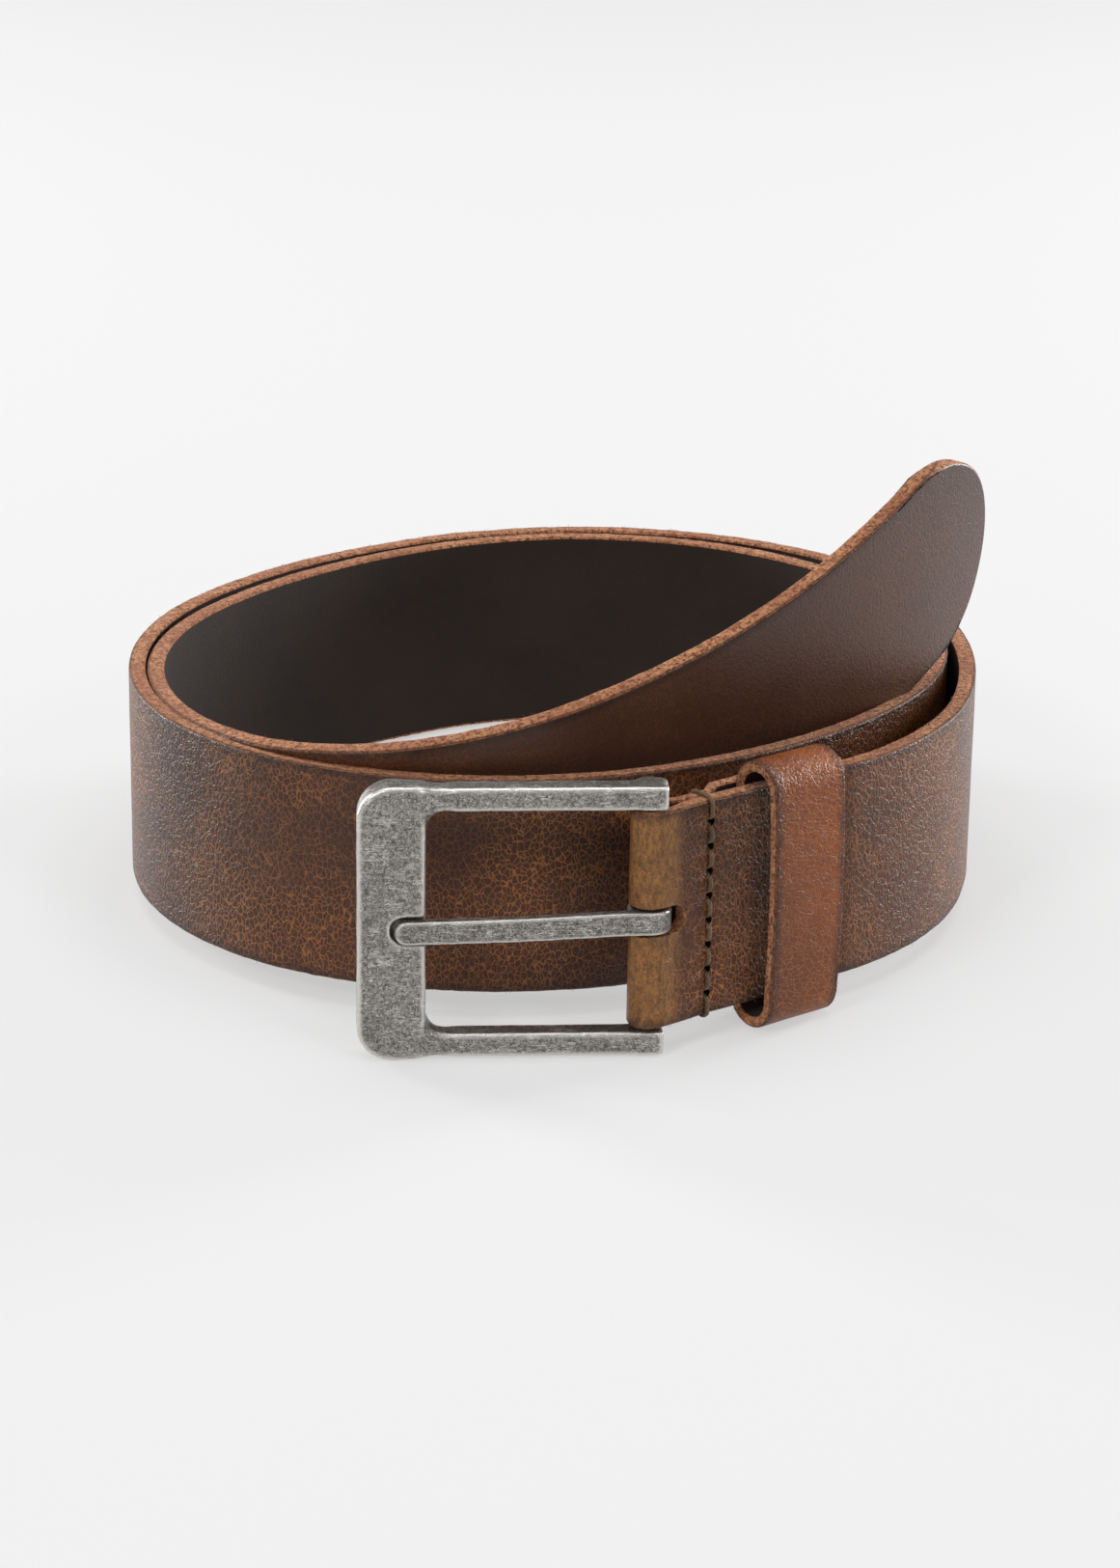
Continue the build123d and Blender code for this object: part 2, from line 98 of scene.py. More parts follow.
FRAME_RELAX, PRONG_RELAX, CORNER_RELAX = 24, 32, 110
FRAME_UNEVEN, PRONG_UNEVEN = 0.06, 0.04
CORNER_START, CORNER_FADE = 18.0, 2.0          # height above the bar's middle where a corner starts
CORNER_REACH = 3.0
SHARP_ANGLE = 50                               # degrees


def heading_vector(angle):
    return Vector((math.cos(math.radians(angle)), math.sin(math.radians(angle)), 0.0))


def outward_vector(angle):
    return heading_vector(angle - 90)


UP = Vector((0.0, 0.0, 1.0))
ALONG = heading_vector(START_HEADING)
OUTWARD = outward_vector(START_HEADING)
BAR_CENTRE = START - OUTWARD * BAR_DEPTH + UP * BAR_Z

# ---------------------------------------------------------------------------
# From the coil's own frame to the room: leaned back, then moved onto the floor
# ---------------------------------------------------------------------------
FOOT = Vector((0.0, REAR_FOOT_Y, 0.0))
LEANING = (
    Matrix.Translation(FOOT) @ Matrix.Rotation(math.radians(-LEAN), 4, "X") @ Matrix.Translation(-FOOT)
)
bar_low, bar_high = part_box("buckle_bar")
SHIFT = (bar_low + bar_high) / 2 / MM - LEANING @ BAR_CENTRE
TO_ROOM = Matrix.Scale(MM, 4) @ Matrix.Translation(SHIFT) @ LEANING


# ---------------------------------------------------------------------------
# The strap's middle line: a list of (distance, middle, along, across, thickness)
# ---------------------------------------------------------------------------
def end_plane(x, y):
    """A point of the straight buckle end: x along the strap, y towards the wearer."""
    return START + ALONG * x - OUTWARD * y


def smooth(share):
    return share * share * (3 - 2 * share)


def flap_route():
    """Grain side of the flap, from its end to the bar, as (x, y) in the end's plane."""
    near = HALF_THICK + FLAP_TOUCH_GAP + SKIVED_THICK
    pocket = HALF_THICK + 2 * KEEPER_BACK_GAP + KEEPER_THICK + SKIVED_THICK
    levels = [
        (REAR_ROW + FLAP_END, near),
        (REAR_ROW - REAR_ROW_LEAD, near),
        (KEEPER_START + KEEPER_WIDTH + POCKET_TAIL, pocket),
        (KEEPER_START - POCKET_LEAD, pocket),
        (FRONT_ROW + FLAP_HELD, near),
        (FRONT_ROW - FLAP_HELD, near),
        (0.0, BAR_DEPTH + FOLD_RADIUS),
    ]
    points = []
    for (x0, y0), (x1, y1) in zip(levels, levels[1:]):
        count = max(2, round(abs(x1 - x0) / FINE_STEP))
        for k in range(count):
            share = k / count
            points.append((x0 + (x1 - x0) * share, y0 + (y1 - y0) * smooth(share)))
    return points


def end_stations():
    """The flap, the turn around the bar and the skived start, as a grain line with thicknesses."""
    line = [(x, y, SKIVED_THICK) for x, y in flap_route()]
    for k in range(TURN_STEPS + 1):
        angle = math.pi / 2 + math.pi * k / TURN_STEPS
        x, y = FOLD_RADIUS * math.cos(angle), BAR_DEPTH + FOLD_RADIUS * math.sin(angle)
        line.append((x, y, SKIVED_THICK))
    for k in range(1, round(SKIVE_LENGTH / FINE_STEP)):
        x = k * FINE_STEP
        gained = (STRAP_THICK - SKIVED_THICK) * smooth(x / SKIVE_LENGTH)
        line.append((x, -HALF_THICK, SKIVED_THICK + gained))
    stations = []
    for k, (x, y, thick) in enumerate(line):
        before, after = line[max(k - 1, 0)], line[min(k + 1, len(line) - 1)]
        run = Vector((after[0] - before[0], after[1] - before[1])).normalized()
        along = ALONG * run.x - OUTWARD * run.y
        normal = along.cross(UP)
        stations.append((end_plane(x, y) - normal * (thick / 2), along, UP.copy(), thick))
    return stations


def coil_stations():
    stations = []
    point, heading = START.copy(), START_HEADING
    for index, (length, turn) in enumerate(COIL_STRETCHES):
        skipped = SKIVE_LENGTH if index == 0 else 0.0
        count = round((length - skipped) / COIL_STEP)
        for k in range(count):
            run = skipped + (length - skipped) * k / count
            here, now = advance(point, heading, run, turn * run / length)
            stations.append((here, heading_vector(now), UP.copy(), STRAP_THICK))
        point, heading = advance(point, heading, length, turn)
    return stations, point, heading


def advance(point, heading, length, turn):
    if turn == 0:
        return point + heading_vector(heading) * length, heading
    radius = length / math.radians(turn)
    centre = point - outward_vector(heading) * radius
    return centre + outward_vector(heading + turn) * radius, heading + turn


def tip_stations(point, heading):
    along, across = heading_vector(heading), UP.copy()
    stations = [(point.copy(), along.copy(), across.copy(), STRAP_THICK)]
    for k in range(round(TIP_LENGTH)):
        station = min(k / TIP_STATION, len(TIP_BEND) - 1)
        low = min(int(station), len(TIP_BEND) - 2)
        share = station - low
        bend = TIP_BEND[low] * (1 - share) + TIP_BEND[low + 1] * share
        twist = TIP_TWIST[low] * (1 - share) + TIP_TWIST[low + 1] * share
        turning = along * twist + across * bend
        spin = Matrix.Rotation(math.radians(turning.length / TIP_STATION), 3, turning.normalized())
        turned = spin @ along
        across = spin @ across
        point = point + (along + turned) / 2
        along = turned
        stations.append((point.copy(), along.copy(), across.copy(), STRAP_THICK))
    return stations


class Route:
    """Maps a flat pattern (distance along, across, out of the grain) onto the belt."""

    def __init__(self, stations):
        middles = np.array([s[0] for s in stations])
        steps = np.linalg.norm(np.diff(middles, axis=0), axis=1)
        self.s = np.concatenate([[0.0], np.cumsum(steps)])
        self.middle = middles
        self.along = np.array([s[1] for s in stations])
        self.across = np.array([s[2] for s in stations])
        self.thick = np.array([s[3] for s in stations])
        self.length = self.s[-1]

    def look(self, table, s):
        if table.ndim == 1:
            return np.interp(s, self.s, table)
        return np.stack([np.interp(s, self.s, table[:, k]) for k in range(3)], axis=1)

    def bend(self, flat, nominal):
        """flat: n x 3 array of (s, u, n); n is scaled from the nominal thickness to the local one."""
        s = np.clip(flat[:, 0], 0, self.length)
        middle, along, across = (self.look(t, s) for t in (self.middle, self.along, self.across))
        along /= np.linalg.norm(along, axis=1)[:, None]
        normal = np.cross(along, across)
        normal /= np.linalg.norm(normal, axis=1)[:, None]
        thick = self.look(self.thick, s) / nominal
        over = (flat[:, 0] - s)[:, None] * along
        return middle + over + across * flat[:, 1:2] + normal * (flat[:, 2] * thick)[:, None]


def to_room(points):
    matrix = np.array(TO_ROOM)
    return points @ matrix[:3, :3].T + matrix[:3, 3]


# ---------------------------------------------------------------------------
# Flat leather pattern: two faces and a rounded rim around them, with UVs in metres
# ---------------------------------------------------------------------------
GRAIN, RIM, FLESH = 0, 1, 2
COLUMNS = np.linspace(-1, 1, COLUMN_COUNT)


def straight_rows(start, end, step, half):
    rows = []
    count = round((end - start) / step)
    for k in range(count + 1):
        rows.append([(start + (end - start) * k / count, half * v) for v in COLUMNS])
    return rows


def rounded_end_rows(start, lead, length, half, count):
    """Rows that bulge more and more, until the last one is the half ellipse of the end."""
    rows = []
    for k in range(1, count + 1):
        t = k / count
        row = []
        for v in COLUMNS:
            angle = v * math.pi / 2
            u = half * ((1 - t) * v + t * math.sin(angle))
            row.append((start + lead * t + length * t**1.4 * math.cos(angle), u))
        rows.append(row)
    return rows


def flat_leather(name, rows, thick, rim_round):
    """A slab from a grid of (s, u) rows, shrunk by the rim's rounding and grown again around it."""
    grid = np.array(rows)
    n_rows, n_cols = grid.shape[:2]
    ring = [(0, j) for j in range(n_cols)] + [(i, n_cols - 1) for i in range(1, n_rows)]
    ring += [(n_rows - 1, j) for j in range(n_cols - 2, -1, -1)]
    ring += [(i, 0) for i in range(n_rows - 2, 0, -1)]
    border = np.array([grid[i, j] for i, j in ring])
    edge = np.roll(border, -1, axis=0) - np.roll(border, 1, axis=0)
    outward = np.stack([edge[:, 1], -edge[:, 0]], axis=1)
    outward /= np.linalg.norm(outward, axis=1)[:, None]
    if (outward[0] @ (border[0] - grid[1, 1])) < 0:
        outward = -outward
    inset = {ij: border[k] - outward[k] * rim_round for k, ij in enumerate(ring)}

    verts = []
    half = thick / 2
    face_index = {}
    for side in (1, -1):
        for i in range(n_rows):
            for j in range(n_cols):
                s, u = inset.get((i, j), grid[i, j])
                face_index[(side, i, j)] = len(verts)
                verts.append((s, u, side * half))
    profile = [(-rim_round * (1 - math.sin(a)), half - rim_round * (1 - math.cos(a)))
               for a in (math.pi / 6, math.pi / 3, math.pi / 2)]
    middle = [0.5, 0.0, -0.5]
    heights = profile + [(0.0, h * (half - rim_round)) for h in middle]
    heights += [(x, -h) for x, h in reversed(profile)]
    loops = [[face_index[(1, i, j)] for i, j in ring]]
    for x, h in heights:
        loop = []
        for k in range(len(ring)):
            s, u = border[k] + outward[k] * x
            loop.append(len(verts))
            verts.append((s, u, h))
        loops.append(loop)
    loops.append([face_index[(-1, i, j)] for i, j in ring])

    faces, materials = [], []
    for side in (1, -1):
        for i in range(n_rows - 1):
            for j in range(n_cols - 1):
                corners = ((i, j), (i + 1, j), (i + 1, j + 1), (i, j + 1))
                quad = [face_index[(side, a, b)] for a, b in corners]
                faces.append(quad if side == 1 else quad[::-1])
                materials.append(GRAIN if side == 1 else FLESH)
    count = len(ring)
    for depth, (upper, lower) in enumerate(zip(loops, loops[1:])):
        for k in range(count):
            faces.append([upper[k], lower[k], lower[(k + 1) % count], upper[(k + 1) % count]])
            materials.append(GRAIN if depth == 0 else RIM)
    mesh = bpy.data.meshes.new(name)
    mesh.from_pydata([tuple(v) for v in verts], [], faces)
    mesh.polygons.foreach_set("material_index", materials)

    # UVs: the pattern itself on both faces, unrolled over the rim
    down = {}
    arc = 0.0
    previous = (-rim_round, half)
    for loop, (x, h) in zip(loops[1:], heights):
        arc += math.dist(previous, (x, h))
        previous = (x, h)
        for k, vertex in enumerate(loop):
            down[vertex] = border[k] + outward[k] * (arc - rim_round)
    layer = mesh.uv_layers.new(name="pattern")
    coords = np.zeros((len(mesh.loops), 2))
    for index, corner in enumerate(mesh.loops):
        s, u = down.get(corner.vertex_index, verts[corner.vertex_index][:2])
        coords[index] = (s, u)
    layer.data.foreach_set("uv", (coords * MM).ravel())
    mesh.validate()
    return mesh


def prism(name, outline, height):
    """A straight cutter through the flat pattern."""
    count = len(outline)
    verts = [(x, y, -height) for x, y in outline] + [(x, y, height) for x, y in outline]
    faces = [list(range(count))[::-1], list(range(count, 2 * count))]
    for k in range(count):
        after = (k + 1) % count
        faces.append([k, after, count + after, count + k])
    mesh = bpy.data.meshes.new(name)
    mesh.from_pydata(verts, [], faces)
    return bpy.data.objects.new(name, mesh)


def round_outline(s, u, radius, corners, stretch=0.0):
    """A circle around (s, u), or a slot with round ends if its halves are moved apart."""
    outline = []
    for k in range(corners):
        angle = 2 * math.pi * (k + 0.5) / corners
        shift = math.copysign(stretch, math.cos(angle))
        outline.append((s + shift + radius * math.cos(angle), u + radius * math.sin(angle)))
    return outline


def bake_modifiers(obj):
    bpy.context.view_layer.update()
    baked = bpy.data.meshes.new_from_object(obj.evaluated_get(bpy.context.evaluated_depsgraph_get()))
    obj.modifiers.clear()
    obj.data = baked
    return baked


def cut(obj, outlines):
    """Cuts holes through the flat pattern: a list of (outline, material of the hole's wall)."""
    cutters = [prism(f"cutter_{k}", outline, CUTTER_HEIGHT) for k, (outline, _) in enumerate(outlines)]
    group = bpy.data.collections.new("cutters")
    bpy.context.scene.collection.children.link(group)
    for cutter, (_, wall) in zip(cutters, outlines):
        cutter.data.materials.append(wall)
        group.objects.link(cutter)
    modifier = obj.modifiers.new("holes", "BOOLEAN")
    modifier.operation = "DIFFERENCE"
    modifier.solver = "EXACT"
    modifier.operand_type = "COLLECTION"
    modifier.collection = group
    modifier.material_mode = "TRANSFER"
    bake_modifiers(obj)
    for cutter in cutters:
        bpy.data.objects.remove(cutter)
    bpy.data.collections.remove(group)


def vertex_array(mesh):
    co = np.zeros(len(mesh.vertices) * 3)
    mesh.vertices.foreach_get("co", co)
    return co.reshape(-1, 3)


def place(obj, points, body):
    mesh = obj.data
    mesh.vertices.foreach_set("co", to_room(points).ravel())
    mesh.update()
    mesh.shade_smooth()
    mesh.set_sharp_from_angle(angle=math.radians(SHARP_ANGLE))
    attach(obj, body)


def new_object(name, mesh, *materials):
    obj = bpy.data.objects.new(name, mesh)
    bpy.context.scene.collection.objects.link(obj)
    for material in materials:
        mesh.materials.append(material)
    return obj


def wobble(points, size, seed):
    """Smooth noise between about -1 and 1 at each point."""
    offset = Vector((seed * 17.3, seed * 5.1, seed * 9.7))
    return np.array([noise.noise(Vector(p) / size + offset) for p in points])


# ---------------------------------------------------------------------------
# Materials: noise and crack scales are per metre, bump heights are in metres
# ---------------------------------------------------------------------------
class Nodes:
    """A small helper to write a node tree as plain calls."""

    def __init__(self, name):
        self.material = bpy.data.materials.new(name)
        self.material.use_nodes = True
        self.tree = self.material.node_tree
        self.shader = self.tree.nodes["Principled BSDF"]

    def add(self, kind, inputs=None, **settings):
        node = self.tree.nodes.new(kind)
        for key, value in settings.items():
            setattr(node, key, value)
        for key, value in (inputs or {}).items():
            self.put(node.inputs[key], value)
        return node

    def put(self, socket, value):
        if isinstance(value, bpy.types.NodeSocket):
            self.tree.links.new(value, socket)
        else:
            socket.default_value = value

    def math(self, operation, a, b=0.0, c=0.0, clamp=False):
        node = self.add("ShaderNodeMath", {0: a, 1: b, 2: c}, operation=operation, use_clamp=clamp)
        return node.outputs[0]

    def ramp(self, value, low, high, out_low=0.0, out_high=1.0):
        node = self.add(
            "ShaderNodeMapRange",
            {"Value": value, "From Min": low, "From Max": high, "To Min": out_low, "To Max": out_high},
            interpolation_type="SMOOTHSTEP",
        )
        return node.outputs["Result"]

    def mix(self, share, a, b):
        node = self.add("ShaderNodeMix", data_type="RGBA")
        self.put(node.inputs["Factor"], share)
        self.put(node.inputs[6], a)
        self.put(node.inputs[7], b)
        return node.outputs[2]

    def noise(self, vector, scale, detail=3.0, rough=0.55, distortion=0.0):
        node = self.add(
            "ShaderNodeTexNoise",
            {
                "Vector": vector, "Scale": scale, "Detail": detail, "Roughness": rough,
                "Distortion": distortion,
            },
        )
        return node.outputs["Fac"]

    def cracks(self, vector, scale):
        settings = {"Vector": vector, "Scale": scale}
        node = self.add("ShaderNodeTexVoronoi", settings, feature="DISTANCE_TO_EDGE")
        return node.outputs["Distance"]

    def stretch(self, vector, factors):
        return self.add("ShaderNodeVectorMath", {0: vector, 1: factors}, operation="MULTIPLY").outputs[0]

    def bump(self, height, distance, strength):
        node = self.add("ShaderNodeBump", {"Height": height, "Distance": distance, "Strength": strength})
        return node.outputs["Normal"]

    def object_place(self):
        return self.add("ShaderNodeTexCoord").outputs["Object"]

    def finish(self, color, rough, normal=None, **plain):
        self.put(self.shader.inputs["Base Color"], color)
        self.put(self.shader.inputs["Roughness"], rough)
        if normal is not None:
            self.put(self.shader.inputs["Normal"], normal)
        for key, value in plain.items():
            self.shader.inputs[key.replace("_", " ")].default_value = value
        return self.material


def rgb(red, green, blue):
    """A display colour from 0 to 255 as linear light."""
    def linear(value):
        value /= 255
        return value / 12.92 if value <= 0.04045 else ((value + 0.055) / 1.055) ** 2.4
    return (linear(red), linear(green), linear(blue), 1.0)


BURNISHED = rgb(34, 18, 12)
EDGE_LINE = rgb(36, 20, 14)
CALM_TONE = rgb(82, 56, 44)
RECESS_TONE = rgb(40, 38, 36)


def pattern_coordinates(n):
    """The flat pattern in metres: the vector, the distance along and the distance across."""
    uv = n.add("ShaderNodeUVMap", uv_map="pattern").outputs["UV"]
    split = n.add("ShaderNodeSeparateXYZ", {0: uv})
    return uv, split.outputs["X"], split.outputs["Y"]


def grain_leather(name, tone, vein, deep, half_width, vein_share, fold=None, calm_from=None):
    """Waxed pull-up leather: a net of warm veins on dark brown, upright creases and dark rims."""
    n = Nodes(name)
    uv, along, across = pattern_coordinates(n)
    warp = n.add("ShaderNodeTexNoise", {"Vector": uv, "Scale": 420.0, "Detail": 3.0}).outputs["Color"]
    bent = n.stretch(warp, (0.0013, 0.0013, 0.0))
    crooked = n.add("ShaderNodeVectorMath", {0: uv, 1: bent}, operation="ADD").outputs[0]
    upright = n.stretch(crooked, (1.0, 0.7, 1.0))

    cells = n.cracks(upright, 1100.0)
    fine = n.cracks(crooked, 2400.0)
    patches = n.noise(uv, 42.0, 4.0, 0.62)
    broad = n.noise(uv, 14.0, 3.0, 0.5)
    pores = n.noise(uv, 3200.0, 2.0, 0.6)
    creases = n.noise(n.stretch(uv, (1.0, 0.3, 1.0)), 900.0, 3.0, 0.6, 0.6)

    share = n.math("MULTIPLY_ADD", n.ramp(patches, 0.36, 0.64), 0.6, 0.28)
    share = n.math("MULTIPLY", share, vein_share)
    relief = 0.8
    calm = 0.0
    if calm_from is not None:
        calm = n.ramp(along, calm_from - 0.03, calm_from + 0.06)
        relief = n.math("MULTIPLY_ADD", calm, -0.5, relief)
        share = n.math("MULTIPLY", share, n.math("MULTIPLY_ADD", calm, -0.8, 1.0))
    wide_vein = n.math("MULTIPLY", n.ramp(cells, 0.0, 0.09, 1.0, 0.0), share)
    thin_vein = n.math("MULTIPLY", n.ramp(fine, 0.0, 0.07, 0.4, 0.0), share)
    veins = n.math("MAXIMUM", wide_vein, thin_vein)

    color = n.mix(n.ramp(broad, 0.33, 0.68), deep, tone)
    if fold is not None:
        wrinkles = n.noise(n.stretch(uv, (1.0, 0.35, 1.0)), 1700.0, 3.0, 0.6, 0.4)
        color = fold_colour(n, along, color, fold, n.ramp(wrinkles, 0.38, 0.62, 0.45, 1.0))
    color = n.mix(n.ramp(creases, 0.48, 0.66, 0.0, 0.45), color, deep)
    color = n.mix(n.math("MULTIPLY", calm, 0.6), color, CALM_TONE)
    color = n.mix(veins, color, vein)
    color = n.mix(n.ramp(pores, 0.30, 0.5, 0.5, 0.0), color, deep)
    edge = n.math("ABSOLUTE", across)
    burnish = n.ramp(edge, half_width - 0.0024, half_width - 0.0003)
    ragged = n.math("MULTIPLY", burnish, n.ramp(n.noise(uv, 300.0, 3.0), 0.2, 0.8, 0.35, 0.9))
    color = n.mix(ragged, color, BURNISHED)

    height = n.math("MULTIPLY", n.ramp(cells, 0.0, 0.2), 0.9)
    height = n.math("ADD", height, n.math("MULTIPLY", n.ramp(fine, 0.0, 0.25), 0.5))
    height = n.math("ADD", height, n.math("MULTIPLY", pores, 0.35))
    height = n.math("SUBTRACT", height, n.math("MULTIPLY", creases, 1.4))
    normal = n.bump(height, 0.00012, relief)
    rough = n.ramp(patches, 0.3, 0.7, 0.34, 0.46)
    return n.finish(color, rough, normal, Specular_IOR_Level=0.36, Coat_Weight=0.06, Coat_Roughness=0.3)


def fold_colour(n, along, color, fold, worn):
    """Pulled leather turns lighter where it goes around the bar."""
    fold_tone, start, end = fold
    soft = 0.002
    entering = n.ramp(along, start - soft, start + soft)
    leaving = n.ramp(along, end - soft, end + soft, 1.0, 0.0)
    return n.mix(n.math("MULTIPLY", n.math("MULTIPLY", entering, leaving), worn), color, fold_tone)


def rim_leather(name, tone, light, dark, start):
    """A raw cut edge: fibres in layers, worn and darker next to the grain."""
    n = Nodes(name)
    across = pattern_coordinates(n)[2]
    place_obj = n.object_place()
    fibres = n.noise(place_obj, 3200.0, 4.0, 0.75)
    clumps = n.noise(place_obj, 900.0, 3.0, 0.65)
    broad = n.noise(place_obj, 60.0, 2.0, 0.5)
    pits = n.noise(place_obj, 1700.0, 2.0, 0.5)
    color = n.mix(n.ramp(clumps, 0.35, 0.65), tone, light)
    color = n.mix(n.ramp(fibres, 0.42, 0.68, 0.0, 0.6), color, light)
    color = n.mix(n.ramp(pits, 0.34, 0.5, 0.85, 0.0), color, dark)
    edge = n.math("ABSOLUTE", n.math("SUBTRACT", n.math("ABSOLUTE", across), start))
    color = n.mix(n.ramp(edge, 0.0, 0.00045, 0.75, 0.0), color, EDGE_LINE)
    color = n.mix(n.ramp(broad, 0.4, 0.7, 0.0, 0.4), color, tone)
    height = n.math("ADD", n.math("MULTIPLY", fibres, 0.5), n.math("MULTIPLY", clumps, 0.9))
    height = n.math("ADD", height, n.math("MULTIPLY", pits, 0.6))
    normal = n.bump(height, 0.0005, 0.9)
    rough = n.ramp(fibres, 0.3, 0.7, 0.75, 0.95)
    return n.finish(color, rough, normal, Specular_IOR_Level=0.25, Sheen_Weight=0.1)


def flesh_leather(name):
    """The inside: brownish black, flat finished, with a fine nap."""
    n = Nodes(name)
    place_obj = n.object_place()
    nap = n.noise(place_obj, 1800.0, 3.0, 0.7)
    cloud = n.noise(place_obj, 45.0, 4.0, 0.6)
    color = n.mix(n.ramp(cloud, 0.3, 0.7), rgb(30, 21, 16), rgb(40, 28, 22))
    color = n.mix(n.ramp(nap, 0.4, 0.7, 0.0, 0.5), color, rgb(54, 40, 32))
    normal = n.bump(n.math("ADD", nap, n.math("MULTIPLY", cloud, 0.6)), 0.0002, 0.6)
    return n.finish(color, n.ramp(nap, 0.3, 0.7, 0.62, 0.8), normal, Specular_IOR_Level=0.3)


def hole_shade_leather(name):
    """Inside of a needle hole, painted near black as the shade deep in the hole."""
    n = Nodes(name)
    fine = n.noise(n.object_place(), 2000.0, 3.0, 0.6)
    color = n.mix(n.ramp(fine, 0.3, 0.7), rgb(12, 7, 5), rgb(30, 17, 11))
    return n.finish(color, n.ramp(fine, 0.3, 0.7, 0.8, 0.95), Specular_IOR_Level=0.15)


def cast_metal(name, dark, middle, bright, brushed=False):
    """Antique pewter: fine scratches every way, bright worn edges and dark recesses."""
    n = Nodes(name)
    place_obj = n.object_place()
    mottle = n.noise(place_obj, 1500.0, 5.0, 0.8)
    speckle = n.noise(place_obj, 4200.0, 3.0, 0.7)
    broad = n.noise(place_obj, 90.0, 3.0, 0.55)
    angles = (5.0, -7.0, 1.0) if brushed else (35.0, -50.0, 85.0, 12.0)
    sparing = 0.5 if brushed else 0.58
    marks = 0.0
    for k, angle in enumerate(angles):
        marks = n.math("MAXIMUM", marks, scratches(n, place_obj, angle, 240.0 + 70.0 * k, sparing))
    edges = n.add("ShaderNodeNewGeometry").outputs["Pointiness"]
    worn = n.ramp(edges, 0.502, 0.52)
    recess = n.ramp(edges, 0.455, 0.492, 1.0, 0.0)
    color = n.mix(n.ramp(mottle, 0.38, 0.62), dark, middle)
    color = n.mix(n.ramp(speckle, 0.54, 0.68, 0.0, 0.7), color, bright)
    color = n.mix(n.ramp(speckle, 0.34, 0.46, 0.8, 0.0), color, dark)
    color = n.mix(n.ramp(broad, 0.4, 0.7, 0.0, 0.25), color, dark)
    color = n.mix(n.math("MULTIPLY", marks, 0.75), color, bright)
    color = n.mix(n.math("MULTIPLY", recess, 0.8), color, RECESS_TONE)
    color = n.mix(n.math("MULTIPLY", worn, 0.6), color, bright)
    height = n.math("ADD", n.math("MULTIPLY", mottle, 0.9), n.math("MULTIPLY", speckle, 0.25))
    height = n.math("SUBTRACT", height, n.math("MULTIPLY", marks, 0.3))
    normal = n.bump(height, 0.00009, 0.7)
    rough = n.math("SUBTRACT", n.ramp(mottle, 0.3, 0.7, 0.44, 0.32), n.math("MULTIPLY", worn, 0.08))
    return n.finish(color, rough, normal, Metallic=0.9, Specular_IOR_Level=0.5)


def scratches(n, vector, angle, scale, sparing):
    """Sparse thin lines in one rough direction."""
    turned = n.add(
        "ShaderNodeMapping",
        {"Vector": vector, "Rotation": (0.3, math.radians(angle), 0.2), "Scale": (0.05, 1.0, 1.0)},
    ).outputs[0]
    line = n.noise(turned, scale * 7, 2.0, 0.5)
    sparse = n.noise(vector, scale, 2.0, 0.5)
    thin = n.ramp(n.math("ABSOLUTE", n.math("SUBTRACT", line, 0.5)), 0.0, 0.02, 1.0, 0.0)
    return n.math("MULTIPLY", thin, n.ramp(sparse, sparing - 0.03, sparing + 0.05))


def plain_steel(name):
    """Drawn steel for the bar and the staple."""
    n = Nodes(name)
    place_obj = n.object_place()
    fine = n.noise(place_obj, 900.0, 4.0, 0.6)
    color = n.mix(n.ramp(fine, 0.3, 0.7), rgb(120, 118, 114), rgb(165, 162, 158))
    return n.finish(color, n.ramp(fine, 0.3, 0.7, 0.3, 0.5), n.bump(fine, 0.0001, 0.4), Metallic=1.0)


def fibre_material(name):
    """Loose fibres in the browns of the raw edge."""
    n = Nodes(name)
    place_obj = n.object_place()
    slow = n.noise(place_obj, 500.0, 2.0, 0.5)
    color = n.mix(n.ramp(slow, 0.3, 0.7), rgb(96, 56, 34), rgb(184, 126, 88))
    return n.finish(color, n.ramp(slow, 0.3, 0.7, 0.8, 0.95), Specular_IOR_Level=0.2)


def waxed_thread(name):
    """Olive brown thread with darker fibres."""
    n = Nodes(name)
    place_obj = n.object_place()
    fine = n.noise(place_obj, 3500.0, 3.0, 0.6)
    slow = n.noise(place_obj, 300.0, 2.0, 0.5)
    color = n.mix(n.ramp(slow, 0.3, 0.7), rgb(84, 62, 38), rgb(116, 88, 56))
    color = n.mix(n.ramp(fine, 0.4, 0.7, 0.0, 0.5), color, rgb(52, 38, 22))
    return n.finish(color, n.ramp(fine, 0.3, 0.7, 0.5, 0.7), n.bump(fine, 0.0001, 0.6), Sheen_Weight=0.15)


# ---------------------------------------------------------------------------
# Strap
# ---------------------------------------------------------------------------
coil, tip_start, tip_heading = coil_stations()
upright_stations = [(p + UP * HALF_WIDTH, a, w, t) for p, a, w, t in end_stations() + coil]
strap_route = Route(upright_stations + tip_stations(tip_start + UP * HALF_WIDTH, tip_heading))

FLAP_STATIONS = len(flap_route())
front_zero = float(strap_route.s[FLAP_STATIONS + TURN_STEPS])


def front_distance(x):
    """Distance on the route of the front layer's point x beyond the bar."""
    return front_zero + x


def flap_distance(x):
    """Distance on the route of the flap's point x behind the strap."""
    places = np.array([(Vector(p) - START) @ ALONG for p in strap_route.middle[:FLAP_STATIONS]])
    return float(np.interp(x, places[::-1], strap_route.s[:FLAP_STATIONS][::-1]))


def stitch_heights():
    gap = (STRAP_WIDTH - 2 * STITCH_MARGIN) / (STITCH_COUNT - 1)
    return [STITCH_MARGIN + gap * k - HALF_WIDTH for k in range(STITCH_COUNT)]


